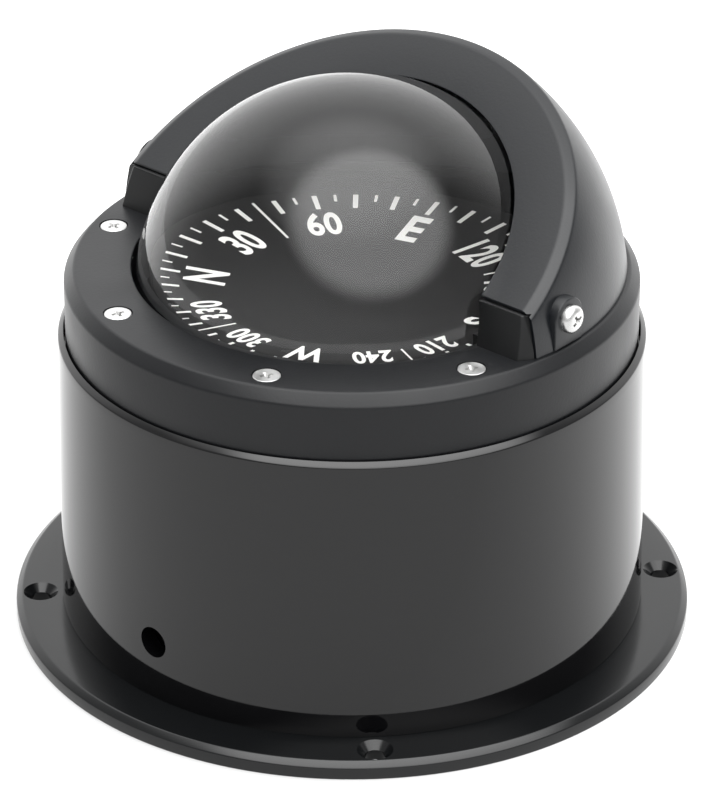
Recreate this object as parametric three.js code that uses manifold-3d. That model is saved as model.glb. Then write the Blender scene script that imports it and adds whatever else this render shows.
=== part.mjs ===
// Binnacle compass: a domed card compass in a straight housing that bolts to a level surface.
// Millimetres. +Z up. The origin is the centre of the flange's underside. The helmsman is at -Y.
// The hood opens towards -Y, so the boat's bow lies along +Y.
import * as THREE from "three";
import { mergeVertices, toCreasedNormals } from "three/addons/utils/BufferGeometryUtils.js";
import Module from "manifold-3d";

const wasm = await Module();
wasm.setup();

// Driving dimensions
const DOME_R = 43.8; // clear dome, outer radius
const RING_WIDTH = 14.13; // how far the bezel ring stands out past the dome
const TUBE_TOP = 64.6; // housing tube, height of its rim
const TUBE_WALL = 3.3; // housing tube, wall at its top
const TUBE_TAPER = 0.8; // the tube is that much slimmer at its top than at its foot
const FLANGE_LIP = 9.7; // how far the flange stands out past the tube
const FLANGE_T = 3.65; // flange thickness
const BEZEL_RISE = 13.6; // bezel ring's top above the tube's rim
const DOME_WALL = 2.6; // clear dome's wall
const CARD_DROP = 1.94; // card's face below the dome's centre
const HOOD_T = 11.45; // hood's thickness
const SCREW_HEAD_R = 2.75; // countersunk head of a 3 mm screw
const SCREW_R = 1.5; // shank of a 3 mm screw

// Sizes that follow from them
const BEZEL_R = DOME_R + RING_WIDTH;
const RECESS_GAP = 0.41; // round the bezel ring, where it drops into the rim
const RECESS_R = BEZEL_R + RECESS_GAP; // shallow recess in the rim that the head drops into
const RECESS_Z = TUBE_TOP - 4.1;
const RIM_BEVEL = 1.16; // the rim is all bevel, from the recess to the tube's outside
const RIM_DROP = 0.95;
const TUBE_TOP_R = RECESS_R + RIM_BEVEL;
const TUBE_R = TUBE_TOP_R + TUBE_TAPER; // at its foot
const TUBE_BORE = TUBE_TOP_R - TUBE_WALL;
const FLANGE_R = TUBE_R + FLANGE_LIP;
const BOLT_CIRCLE = (FLANGE_R + TUBE_R) / 2 - 0.25;
const BOLT_R = 2.1;
const BOLT_SINK_R = 3.55;
const BEZEL_TOP = TUBE_TOP + BEZEL_RISE;
const BEZEL_BORE = DOME_R + 0.5;
const BEZEL_CHAMFER = 2.05;
const BEZEL_SCREWS = 8;
const DOME_Z = BEZEL_TOP - 6.2; // centre of the dome's sphere
const CHAMBER_R = DOME_R - DOME_WALL;
const SEAT_T = 0.5; // gasket under the head
const SEAT_Z = RECESS_Z + SEAT_T;
const BOWL_LIP_T = 2.4; // bowl's lip, under the bezel ring
const LIP_TOP = SEAT_Z + BOWL_LIP_T;
const SEAL_T = 0.7;
const DOME_FOOT = LIP_TOP + SEAL_T; // underside of the dome's own lip
const DOME_LIP_T = 3.0;
const DOME_LIP_R = DOME_R + 4.6;
const SCREW_CIRCLE = (DOME_LIP_R + BEZEL_R) / 2 - 1.87;
const SCREW_TIP = SEAT_Z + 0.4;
const CABLE_R = 3.3;

// Under the bowl: its floor, the clamp below it, and the corrector in the space that is left
const FLOOR_Z = DOME_Z - CHAMBER_R + 5.2; // bowl's inner floor
const FLOOR_T = 2.5;
const CLAMP_T = 4.0;
const CLAMP_UNDER = FLOOR_Z - FLOOR_T - CLAMP_T;
const STOREY = CLAMP_UNDER / 29.5; // the corrector fills the height under the clamp
const CABLE_Z = 16.335 * STOREY; // the cable hole is in line with the fore-and-aft shaft

// Small parts share these
const BIG = 64; // facets round the housing
const MID = 48; // facets round the dome and bowl
const SMALL = 12; // facets round a screw
const FIT = 0.3; // gap between faces that are cut to each other

// ---------------------------------------------------------------- solids

// A three.js geometry as a closed solid with its faces pointing out.
function solid(geometry) {
  geometry.deleteAttribute("normal");
  geometry.deleteAttribute("uv");
  const g = mergeVertices(geometry, 1e-4);
  const p = g.attributes.position.array;
  const t = new Uint32Array(g.index.array);
  let volume = 0;
  for (let i = 0; i < t.length; i += 3) {
    const a = new THREE.Vector3().fromArray(p, 3 * t[i]);
    const b = new THREE.Vector3().fromArray(p, 3 * t[i + 1]);
    const c = new THREE.Vector3().fromArray(p, 3 * t[i + 2]);
    volume += a.dot(b.cross(c));
  }
  if (volume < 0)
    for (let i = 0; i < t.length; i += 3) [t[i + 1], t[i + 2]] = [t[i + 2], t[i + 1]];
  return new wasm.Manifold(new wasm.Mesh({ numProp: 3, vertProperties: p, triVerts: t }));
}

// A profile of [radius, height] points turned about Z. One that leaves the axis closes on itself.
function turned(profile, facets = MID) {
  const points = profile.map(([r, z]) => new THREE.Vector2(r, z));
  if (profile[0][0] > 0 || profile[profile.length - 1][0] > 0) points.push(points[0].clone());
  return solid(new THREE.LatheGeometry(points, facets).rotateX(Math.PI / 2));
}

// A box between two corners.
function block(low, high) {
  const size = high.map((h, i) => h - low[i]);
  const mid = high.map((h, i) => (h + low[i]) / 2);
  return solid(new THREE.BoxGeometry(...size).translate(...mid));
}

// A round bar from one height to another, about Z.
function rod(r, from, to, facets = SMALL) {
  return turned([[0, from], [r, from], [r, to], [0, to]], facets);
}

// The same solid with Z turned to point along an axis: "x" or "y".
function along(axis, s) {
  return axis === "x" ? s.rotate([0, 90, 0]) : s.rotate([-90, 0, 0]);
}

// Points of an arc of a circle about [0, z], from one angle to another in degrees.
function arc(r, z, from, to, steps) {
  return Array.from({ length: steps + 1 }, (_, i) => {
    const a = THREE.MathUtils.degToRad(from + ((to - from) * i) / steps);
    return [i === steps && Math.abs(to) === 90 ? 0 : r * Math.cos(a), z + r * Math.sin(a)];
  });
}

const degrees = (x) => THREE.MathUtils.radToDeg(x);

const root = new THREE.Group();
root.name = "binnacle_compass";

// Adds a named piece with a colour of its own.
function piece(name, s, colour, crease = 0.5) {
  const made = s.getMesh();
  const g = new THREE.BufferGeometry();
  g.setAttribute("position", new THREE.BufferAttribute(new Float32Array(made.vertProperties), 3));
  g.setIndex(new THREE.BufferAttribute(new Uint32Array(made.triVerts), 1));
  const mesh = new THREE.Mesh(
    toCreasedNormals(g, crease),
    new THREE.MeshStandardMaterial({ color: colour, roughness: 0.6 }),
  );
  mesh.name = name;
  root.add(mesh);
  return mesh;
}

// A cross-recess screw with its tip down and the top of its head at z = 0.
function countersunkScrew(length) {
  const head = turned([[0, -length], [SCREW_R, -length], [SCREW_R, -1.65],
    [SCREW_HEAD_R, -0.25], [SCREW_HEAD_R, 0], [0, 0]], SMALL);
  return crossed(head, 0, 1.3);
}

// Cuts a cross recess into a screw head whose top is at the given height.
function crossed(s, top, depth) {
  const arm = 1.5;
  const half = 0.3;
  return s
    .subtract(block([-arm, -half, top - depth], [arm, half, top + 1]))
    .subtract(block([-half, -arm, top - depth], [half, arm, top + 1]));
}

// ---------------------------------------------------------------- housing

const BLACK = 0x17181a;
const STEEL = 0xb9bcc0;
const BRASS = 0xb08d4a;

const boltAngles = [45, 135, 225, 315];
let flange = turned([[TUBE_BORE, 0], [FLANGE_R, 0], [FLANGE_R, FLANGE_T * 0.704],
  [FLANGE_R - 1.34, FLANGE_T], [TUBE_BORE, FLANGE_T]], BIG);
for (const a of boltAngles) {
  const sink = BOLT_SINK_R - BOLT_R;
  const hole = turned([[0, -1], [BOLT_R, -1], [BOLT_R, FLANGE_T - sink], [BOLT_SINK_R, FLANGE_T],
    [BOLT_SINK_R, FLANGE_T + 1], [0, FLANGE_T + 1]], 24);
  flange = flange.subtract(hole.translate([BOLT_CIRCLE, 0, 0]).rotate([0, 0, a]));
}
piece("base_flange", flange, BLACK);

const cableHole = along("y", rod(CABLE_R, -TUBE_R - 2, -TUBE_BORE + 2, 24)).translate([0, 0, CABLE_Z]);
piece("housing_tube", turned([[TUBE_BORE, FLANGE_T], [TUBE_R, FLANGE_T],
  [TUBE_TOP_R, TUBE_TOP - RIM_DROP], [RECESS_R, TUBE_TOP], [RECESS_R, RECESS_Z],
  [TUBE_BORE, RECESS_Z]], BIG).subtract(cableHole), BLACK);

piece("head_gasket", turned([[TUBE_BORE, RECESS_Z], [RECESS_R - FIT, RECESS_Z],
  [RECESS_R - FIT, SEAT_Z], [TUBE_BORE, SEAT_Z]], MID), 0x0c0c0d);

// ---------------------------------------------------------------- head: bowl, dome and bezel ring

const FLOOR_R = Math.sqrt(CHAMBER_R ** 2 - (DOME_Z - FLOOR_Z) ** 2);
const PORT_R = FLOOR_R - 4.0; // opening in the floor that the diaphragm closes
const NECK_R = FLOOR_R + 6.0;
const LONG_SCREW_AT = (FLOOR_R + NECK_R) / 2;
const BOWL_R = DOME_R;
const bowlAngle = (r, z) => -degrees(Math.asin((DOME_Z - z) / r));
const BOSS_Z = SEAT_Z - 7.0; // clear of the lip above it
const PLUG_R = 3.0;

let bowl = turned([
  ...arc(CHAMBER_R, DOME_Z, bowlAngle(CHAMBER_R, LIP_TOP), bowlAngle(CHAMBER_R, FLOOR_Z), 6),
  [PORT_R, FLOOR_Z], [PORT_R, FLOOR_Z - FLOOR_T], [NECK_R, FLOOR_Z - FLOOR_T],
  ...arc(BOWL_R, DOME_Z, -degrees(Math.acos(NECK_R / BOWL_R)), bowlAngle(BOWL_R, SEAT_Z), 6),
  [BEZEL_R, SEAT_Z], [BEZEL_R, LIP_TOP],
], MID);

// Two ears that carry the gimbal's roll pins, inside the bowl fore and aft.
const EAR_IN = CHAMBER_R - 4.0;
const EAR_OUT = CHAMBER_R - 1.5;
const RING_OUT = EAR_IN - 1.0;
const RING_IN = RING_OUT - 3.4;
const PIN_R = 1.0;
for (const side of [-1, 1]) {
  const y = [side * EAR_IN, side * EAR_OUT].sort((a, b) => a - b);
  bowl = bowl.add(block([-3, y[0], DOME_Z - 14], [3, y[1], DOME_Z + 3]));
}
bowl = bowl.subtract(along("y", rod(PIN_R + 0.08, -EAR_OUT - 0.01, EAR_OUT + 0.01, SMALL))
  .translate([0, 0, DOME_Z]));

// Bosses for the filler plug, ahead, and the night-light, towards the helmsman.
const BOSS_OUT = CHAMBER_R + 5.5;
const boss = along("y", rod(PLUG_R + 2.6, CHAMBER_R - 4, BOSS_OUT, 20));
const bore = along("y", rod(PLUG_R + FIT, CHAMBER_R - 12, BOSS_OUT + 1, 20));
const chamber = turned([...arc(CHAMBER_R + 0.6, DOME_Z, -90, 90, 16)].map(([r, z]) =>
  [Math.abs(z - DOME_Z) > CHAMBER_R + 0.59 ? 0 : r, z]), MID);
for (const turn of [0, 180])
  bowl = bowl.add(boss.translate([0, 0, BOSS_Z]).rotate([0, 0, turn]).subtract(chamber))
    .subtract(bore.translate([0, 0, BOSS_Z]).rotate([0, 0, turn]));

// Threaded holes for the bezel screws in the lip, and for the long screws in the neck.
const screwAngles = Array.from({ length: BEZEL_SCREWS }, (_, i) => (360 / BEZEL_SCREWS) * (i + 0.5));
const lipHole = rod(SCREW_R + 0.1, SEAT_Z - 1, LIP_TOP + 1).translate([SCREW_CIRCLE, 0, 0]);
for (const a of screwAngles) bowl = bowl.subtract(lipHole.rotate([0, 0, a]));
const neckHole = rod(SCREW_R + 0.1, FLOOR_Z - FLOOR_T - 1, FLOOR_Z + 2).translate([LONG_SCREW_AT, 0, 0]);
for (const a of boltAngles) bowl = bowl.subtract(neckHole.rotate([0, 0, a]));
piece("bowl", bowl, 0x1d1e20);

piece("dome_gasket", turned([[CHAMBER_R, LIP_TOP], [DOME_LIP_R, LIP_TOP], [DOME_LIP_R, DOME_FOOT],
  [CHAMBER_R, DOME_FOOT]], MID), 0x0c0c0d);

const domeInnerStart = [CHAMBER_R, DOME_FOOT];
piece("dome", turned([
  [DOME_LIP_R, DOME_FOOT], [DOME_LIP_R, DOME_FOOT + DOME_LIP_T], [DOME_R, DOME_FOOT + DOME_LIP_T],
  ...arc(DOME_R, DOME_Z, 0, 90, 8),
  ...arc(CHAMBER_R, DOME_Z, 90, 0, 8).map(([r, z], i) => [i === 0 ? 0 : r, z]),
  domeInnerStart, [DOME_LIP_R, DOME_FOOT],
].slice(0, -1).map((p) => p), MID), 0x8fa3ad);

const RABBET = DOME_FOOT + DOME_LIP_T + FIT;
let bezel = turned([[BEZEL_BORE, RABBET], [BEZEL_BORE, BEZEL_TOP],
  [BEZEL_R - BEZEL_CHAMFER, BEZEL_TOP], [BEZEL_R, BEZEL_TOP - BEZEL_CHAMFER * 1.15],
  [BEZEL_R, LIP_TOP], [DOME_LIP_R + FIT, LIP_TOP], [DOME_LIP_R + FIT, RABBET]], BIG);
const sinkHole = turned([[0, LIP_TOP - 1], [SCREW_R + 0.2, LIP_TOP - 1], [SCREW_R + 0.2, BEZEL_TOP - 1.6],
  [SCREW_HEAD_R + 0.15, BEZEL_TOP - 0.35], [SCREW_HEAD_R + 0.15, BEZEL_TOP + 1], [0, BEZEL_TOP + 1]],
SMALL).translate([SCREW_CIRCLE, 0, 0]);
for (const a of screwAngles) bezel = bezel.subtract(sinkHole.rotate([0, 0, a]));

screwAngles.forEach((a, i) =>
  piece(`bezel_screw_${i + 1}`, countersunkScrew(BEZEL_TOP - 0.1 - SCREW_TIP)
    .translate([SCREW_CIRCLE, 0, BEZEL_TOP - 0.1]).rotate([0, 0, a]), STEEL));

// ---------------------------------------------------------------- hood and its two posts

const HOOD_IN = DOME_R + 0.35;
const HOOD_R = HOOD_IN + HOOD_T;
const FOOT_Y = -HOOD_R * 0.214; // front face of the posts, at its foot
const FOOT_TOP = BEZEL_TOP + 8.8; // where that face meets the hood's own front face
const POST_LEAN = 2.5; // how far it leans back by then
const HOOD_RISE = 0.64; // slope of the hood's front face
const HOOD_SCREW_Z = BEZEL_TOP + 5.8;
const POST_OUT = HOOD_R - 3.4;
const PAD_X = HOOD_R - 0.1;
const PAD_R = 4.2;

// The hood is a shell between two spheres about the dome's centre, so it turns about a line
// square to its flat front face. It is drawn upright and then tilted.
const TILT = degrees(Math.atan(HOOD_RISE));
const FACE_H = (FOOT_TOP - DOME_Z - HOOD_RISE * (FOOT_Y + POST_LEAN)) * Math.cos(Math.atan(HOOD_RISE));
const aside = (r, h) => degrees(Math.asin(h / r));
const shell = turned([
  ...arc(HOOD_R, 0, -30, aside(HOOD_R, FACE_H - 1.03), 9),
  [Math.sqrt((HOOD_R - 1.55) ** 2 - FACE_H ** 2), FACE_H],
  ...arc(HOOD_IN, 0, aside(HOOD_IN, FACE_H), -37, 9),
], BIG).rotate([TILT, 0, 0]).translate([0, 0, DOME_Z]);

// What is above the bezel ring and behind the posts' leaning face, as a prism that runs along X.
const backY = HOOD_R + 4;
const shape = new THREE.Shape();
shape.moveTo(FOOT_Y, BEZEL_TOP);
shape.lineTo(backY, BEZEL_TOP);
shape.lineTo(backY, BEZEL_TOP + 2 * HOOD_R);
shape.lineTo(FOOT_Y + (POST_LEAN * 2 * HOOD_R) / (FOOT_TOP - BEZEL_TOP), BEZEL_TOP + 2 * HOOD_R);
shape.closePath();
const behind = solid(new THREE.ExtrudeGeometry(shape, { depth: 4 * HOOD_R, bevelEnabled: false })
  .translate(0, 0, -2 * HOOD_R).rotateX(Math.PI / 2).rotateZ(Math.PI / 2));
const upright = block([-2 * HOOD_R, FOOT_Y, BEZEL_TOP], [2 * HOOD_R, 2 * HOOD_R, BEZEL_TOP + 2 * HOOD_R]);

// A flat pad with a round top under each hood screw.
const padShape = new THREE.Shape();
padShape.moveTo(-PAD_R, BEZEL_TOP);
padShape.lineTo(-PAD_R, HOOD_SCREW_Z);
padShape.absarc(0, HOOD_SCREW_Z, PAD_R, Math.PI, 0, true);
padShape.lineTo(PAD_R, BEZEL_TOP);
padShape.closePath();
const pad = solid(new THREE.ExtrudeGeometry(padShape, { depth: PAD_X - POST_OUT - 0.6,
  bevelEnabled: false, curveSegments: 8 }).translate(0, 0, POST_OUT + 0.6)
  .rotateX(Math.PI / 2).rotateZ(Math.PI / 2));

const POST_IN = BEZEL_BORE + 0.6;
const POST_BACK = -FOOT_Y * 0.65;
const POST_LIP = FOOT_Y + POST_LEAN + 0.4;
const POST_TOP = FOOT_TOP - FIT;
let hood = shell.intersect(upright);
for (const side of [0, 180]) hood = hood.add(side ? pad.rotate([0, 0, 180]) : pad);
const inside = POST_IN * 0.84; // past the curve of the hood's inner face at the posts
const pocketBox = (grow) => block([inside, FOOT_Y - 4 * grow, BEZEL_TOP - grow],
  [POST_OUT + grow, POST_BACK + grow, POST_TOP + grow]);
const lipBox = (grow) => block([inside, FOOT_Y - 4 * grow, BEZEL_TOP - grow],
  [HOOD_R + grow * 12, POST_LIP + grow, POST_TOP + grow]);
const screwBore = along("x", rod(SCREW_R + 0.15, POST_IN - 1, HOOD_R + 8)).translate([0, 0, HOOD_SCREW_Z]);
for (const side of [0, 180]) {
  const mirror = (s) => (side ? s.mirror([1, 0, 0]) : s);
  hood = hood.subtract(mirror(pocketBox(FIT))).subtract(mirror(lipBox(FIT)))
    .subtract(mirror(screwBore));
}
piece("hood", hood, 0x26272a);

const screwUp = rod(SCREW_R + 0.15, DOME_FOOT, BEZEL_TOP + 6.2)
  .translate([(POST_IN + POST_OUT) / 2 + 0.8, -FOOT_Y * -0.45, 0]);
const ball = (r) => turned(arc(r, DOME_Z, -90, 90, 32), BIG);
const corner = (y, z) => new THREE.Vector3(
  Math.sqrt((HOOD_R - 1.55) ** 2 - y ** 2 - (z - DOME_Z) ** 2), y, z);
const toe = corner(FOOT_Y, BEZEL_TOP);
const bevel = new THREE.Plane().setFromCoplanarPoints(toe,
  toe.clone().add(new THREE.Vector3(1.85, 2.6, 0)), corner(FOOT_Y + POST_LEAN, FOOT_TOP));
const postShape = pocketBox(0).add(lipBox(0)).intersect(ball(HOOD_R - FIT)).intersect(behind)
  .trimByPlane(bevel.normal.clone().negate().toArray(), bevel.constant)
  .subtract(ball(HOOD_IN)).subtract(screwBore).subtract(screwUp);
piece("hood_post_right", postShape, 0x101113);
piece("hood_post_left", postShape.mirror([1, 0, 0]), 0x101113);

const panHead = crossed(turned([[0, -8.6], [SCREW_R, -8.6], [SCREW_R, 0], [2.85, 0], [2.85, 1.0],
  [2.3, 1.8], [1.2, 2.1], [0, 2.1]], SMALL), 2.1, 1.4);
piece("hood_screw_right", along("x", panHead).translate([PAD_X, 0, HOOD_SCREW_Z]), STEEL);
piece("hood_screw_left", along("x", panHead).mirror([1, 0, 0])
  .translate([-PAD_X, 0, HOOD_SCREW_Z]), STEEL);

// A screw from below holds each post, with its head sunk in the bezel ring's underside.
const postScrewAt = [(POST_IN + POST_OUT) / 2 + 0.8, -FOOT_Y * -0.45, 0];
const postBore = turned([[0, RABBET - 1], [SCREW_HEAD_R + 0.3, RABBET - 1],
  [SCREW_HEAD_R + 0.3, RABBET + 2.6], [SCREW_R + 0.2, RABBET + 2.6],
  [SCREW_R + 0.2, BEZEL_TOP + 1], [0, BEZEL_TOP + 1]], SMALL);
const postScrew = crossed(turned([[0, -12.6], [SCREW_R, -12.6], [SCREW_R, -2], [SCREW_HEAD_R, -2],
  [SCREW_HEAD_R, 0], [0, 0]], SMALL), 0, 1.2).rotate([180, 0, 0]);
for (const side of ["right", "left"]) {
  const mirror = (s) => (side === "left" ? s.mirror([1, 0, 0]) : s);
  bezel = bezel.subtract(mirror(postBore.translate(postScrewAt)));
  piece(`post_screw_${side}`, mirror(postScrew.translate([postScrewAt[0], postScrewAt[1],
    RABBET + 0.4])), STEEL);
}
piece("bezel_ring", bezel, 0x2b2c2f);

// ---------------------------------------------------------------- floor of the bowl

const SEAT_UNDER = FLOOR_Z - FLOOR_T;
const DIAPHRAGM_T = 1.2;
const DIAPHRAGM_R = LONG_SCREW_AT - SCREW_R - 0.4;
piece("diaphragm", turned([[0, SEAT_UNDER - DIAPHRAGM_T], [DIAPHRAGM_R * 0.55, SEAT_UNDER - DIAPHRAGM_T],
  [DIAPHRAGM_R * 0.66, SEAT_UNDER - DIAPHRAGM_T + 0.5], [DIAPHRAGM_R * 0.77, SEAT_UNDER - DIAPHRAGM_T],
  [DIAPHRAGM_R, SEAT_UNDER - DIAPHRAGM_T], [DIAPHRAGM_R, SEAT_UNDER], [0, SEAT_UNDER]], 32), 0x0e0e0f);

let clamp = turned([[PORT_R - 1, CLAMP_UNDER], [NECK_R, CLAMP_UNDER], [NECK_R, SEAT_UNDER],
  [DIAPHRAGM_R + 0.2, SEAT_UNDER], [DIAPHRAGM_R + 0.2, SEAT_UNDER - DIAPHRAGM_T - 0.02],
  [PORT_R - 1, SEAT_UNDER - DIAPHRAGM_T - 0.02]], 32);
const longBore = rod(SCREW_R + 0.1, 0, FLOOR_Z + 2).translate([LONG_SCREW_AT, 0, 0]);
for (const a of boltAngles) clamp = clamp.subtract(longBore.rotate([0, 0, a]));
piece("diaphragm_clamp", clamp, 0x33353a);

// Filler plug with a slot, screwed into the boss ahead of the bowl.
const plug = turned([[0, CHAMBER_R - 3.5], [PLUG_R, CHAMBER_R - 3.5], [PLUG_R, BOSS_OUT + 0.05],
  [PLUG_R + 1.6, BOSS_OUT + 0.05], [PLUG_R + 1.6, BOSS_OUT + 2.4], [0, BOSS_OUT + 2.4]], 16)
  .subtract(block([-0.5, -6, BOSS_OUT + 1.4], [0.5, 6, BOSS_OUT + 4]));
piece("fill_plug", along("y", plug).translate([0, 0, BOSS_Z]), BRASS);

// Night-light: a socket in the boss towards the helmsman, with a small lamp in its inner end.
const socket = turned([[0, CHAMBER_R - 2.5], [PLUG_R, CHAMBER_R - 2.5], [PLUG_R, BOSS_OUT + 0.05],
  [PLUG_R + 1.3, BOSS_OUT + 0.05], [PLUG_R + 1.3, BOSS_OUT + 3.0], [0, BOSS_OUT + 3.0]], 16);
piece("lamp_socket", along("y", socket).rotate([0, 0, 180]).translate([0, 0, BOSS_Z]), 0x6d1414);
const lamp = turned([[0, CHAMBER_R - 7.0], [1.0, CHAMBER_R - 6.7], [1.5, CHAMBER_R - 6.0],
  [1.5, CHAMBER_R - 2.52], [0, CHAMBER_R - 2.52]], 16);
piece("lamp", along("y", lamp).rotate([0, 0, 180]).translate([0, 0, BOSS_Z]), 0xc22a1c);

// ---------------------------------------------------------------- gimbal, pivot and card

let ring = turned([[RING_IN, DOME_Z - 1.5], [RING_OUT, DOME_Z - 1.5], [RING_OUT, DOME_Z + 1.5],
  [RING_IN, DOME_Z + 1.5]], MID);
const pinHole = rod(PIN_R + 0.05, RING_IN - 1, RING_OUT + 1);
for (const turn of [0, 180])
  for (const axis of ["x", "y"])
    ring = ring.subtract(along(axis, pinHole).rotate([0, 0, turn]).translate([0, 0, DOME_Z]));
piece("gimbal_ring", ring, 0x3a3c40);

const ARM_OUT = RING_IN - 0.8;
const ARM_IN = ARM_OUT - 1.8;
const pinAlong = (axis, from, to, turn) =>
  along(axis, rod(PIN_R, from, to)).rotate([0, 0, turn]).translate([0, 0, DOME_Z]);
piece("roll_pin_front", pinAlong("y", RING_IN + 0.3, EAR_OUT - 0.3, 0), BRASS);
piece("roll_pin_rear", pinAlong("y", RING_IN + 0.3, EAR_OUT - 0.3, 180), BRASS);
piece("pitch_pin_right", pinAlong("x", ARM_IN + 0.2, RING_OUT - 0.3, 0), BRASS);
piece("pitch_pin_left", pinAlong("x", ARM_IN + 0.2, RING_OUT - 0.3, 180), BRASS);

piece("lubber_pin", turned([[0, 0], [0.8, 0], [0.6, 5.6], [0, 6.4]], SMALL)
  .translate([0, (RING_IN + RING_OUT) / 2, DOME_Z + 1.5]), 0xe9e9e6);

// The yoke hangs from the pitch pins, under the card, and holds the pivot over a counterweight.
const CARD_TOP = DOME_Z - CARD_DROP;
const CARD_T = 1.0;
const CARD_UNDER = CARD_TOP - CARD_T;
const YOKE_Z = DOME_Z - 16;
const PIVOT_TIP = CARD_UNDER - 2.0;
let yoke = block([-ARM_OUT, -3, YOKE_Z - 1.6], [ARM_OUT, 3, YOKE_Z + 1.4])
  .add(block([ARM_IN, -3, YOKE_Z - 1.6], [ARM_OUT, 3, DOME_Z + 2.4]))
  .add(block([-ARM_OUT, -3, YOKE_Z - 1.6], [-ARM_IN, 3, DOME_Z + 2.4]))
  .add(rod(6, YOKE_Z - 1.6, YOKE_Z + 2.6, 20));
for (const turn of [0, 180])
  yoke = yoke.subtract(along("x", rod(PIN_R + 0.08, ARM_IN - 1, ARM_OUT + 1))
    .rotate([0, 0, turn]).translate([0, 0, DOME_Z]));
yoke = yoke.subtract(rod(SCREW_R + 0.1, YOKE_Z - 4, YOKE_Z + 4));
piece("pivot_yoke", yoke, 0x3a3c40);
piece("pivot_post", turned([[0, YOKE_Z - 11], [SCREW_R, YOKE_Z - 11], [SCREW_R, PIVOT_TIP - 4],
  [0.25, PIVOT_TIP - 0.3], [0, PIVOT_TIP]], SMALL), STEEL);
piece("counterweight", turned([[SCREW_R + 0.1, YOKE_Z - 10.4], [9, YOKE_Z - 10.4], [11, YOKE_Z - 8.4],
  [11, YOKE_Z - 1.6], [SCREW_R + 0.1, YOKE_Z - 1.6]], 32), BRASS);

const CARD_R = RING_IN - 3.8;
const NORTH = 200.1; // where the card's north lies at rest, in degrees from +X towards +Y
piece("card", turned([[0, CARD_UNDER], [CARD_R - 0.4, CARD_UNDER], [CARD_R, CARD_UNDER + 0.4],
  [CARD_R, CARD_TOP - 0.2], [CARD_R - 0.2, CARD_TOP], [0, CARD_TOP]], MID), 0x0b0b0c);
const FLOAT_R = CARD_R * 0.431;
piece("card_float", turned([[2.6, CARD_UNDER], [2.6, PIVOT_TIP - 1.2], [4.4, PIVOT_TIP - 6],
  [FLOAT_R - 3, PIVOT_TIP - 6], [FLOAT_R, PIVOT_TIP - 3.5], [FLOAT_R, CARD_UNDER]], 32), 0x2a2b2e);
piece("jewel_cup", turned([[0, PIVOT_TIP + 0.06], [1.4, PIVOT_TIP - 1.1], [2.4, PIVOT_TIP - 1.1],
  [2.4, CARD_UNDER], [0, CARD_UNDER]], SMALL), 0x7d1f3a);
const bar = block([-CARD_R * 0.517, FLOAT_R + 1.3, CARD_UNDER - 3.0],
  [CARD_R * 0.517, FLOAT_R + 4.3, CARD_UNDER]);
piece("magnet_left", bar.rotate([0, 0, NORTH]), 0x6f7276);
piece("magnet_right", bar.mirror([0, 1, 0]).rotate([0, 0, NORTH]), 0x6f7276);

// ---------------------------------------------------------------- corrector under the bowl

const BLOCK_HALF = NECK_R * 0.9;
const BLOCK_TOP = CLAMP_UNDER - 2.5 * STOREY;
const BLOCK_UNDER = CABLE_Z - 7.0 * STOREY;
const CROSS_Z = CABLE_Z + 5.8 * STOREY;
const SHAFT_R = 2.2 * STOREY;
const MAGNET_HALF = 5.0 * STOREY;
const MAGNET_R = 1.3 * STOREY;
let holder = block([-BLOCK_HALF, -BLOCK_HALF, BLOCK_UNDER], [BLOCK_HALF, BLOCK_HALF, BLOCK_TOP]);
for (const a of boltAngles)
  holder = holder.add(rod(3.4, BLOCK_TOP - 1, CLAMP_UNDER, 16).translate([LONG_SCREW_AT, 0, 0])
    .rotate([0, 0, a]));
const MAGNET_AT = BLOCK_HALF * 0.62;
const pocket = MAGNET_HALF + 1.2;
holder = holder
  .subtract(along("y", rod(SHAFT_R + 0.06, -BLOCK_HALF - 1, MAGNET_AT + 6.5)).translate([0, 0, CABLE_Z]))
  .subtract(along("x", rod(SHAFT_R + 0.06, -BLOCK_HALF - 1, MAGNET_AT + 6.5)).translate([0, 0, CROSS_Z]))
  .subtract(block([-pocket, MAGNET_AT - 2.2, BLOCK_UNDER - 1], [pocket, MAGNET_AT + 2.2, CABLE_Z + pocket]))
  .subtract(block([MAGNET_AT - 2.2, -pocket, CROSS_Z - pocket], [MAGNET_AT + 2.2, pocket, BLOCK_TOP + 1]));
for (const a of boltAngles) holder = holder.subtract(longBore.rotate([0, 0, a]));
piece("corrector_block", holder, 0x2f3134);

boltAngles.forEach((a, i) =>
  piece(`long_screw_${i + 1}`, crossed(turned([[0, BLOCK_UNDER - 2.2], [SCREW_HEAD_R, BLOCK_UNDER - 2.2],
    [SCREW_HEAD_R, BLOCK_UNDER], [SCREW_R, BLOCK_UNDER], [SCREW_R, FLOOR_Z - 0.4], [0, FLOOR_Z - 0.4]],
  SMALL).mirror([0, 0, 1]), -BLOCK_UNDER + 2.2, 1.2).mirror([0, 0, 1])
    .translate([LONG_SCREW_AT, 0, 0]).rotate([0, 0, a]), STEEL));

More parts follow.
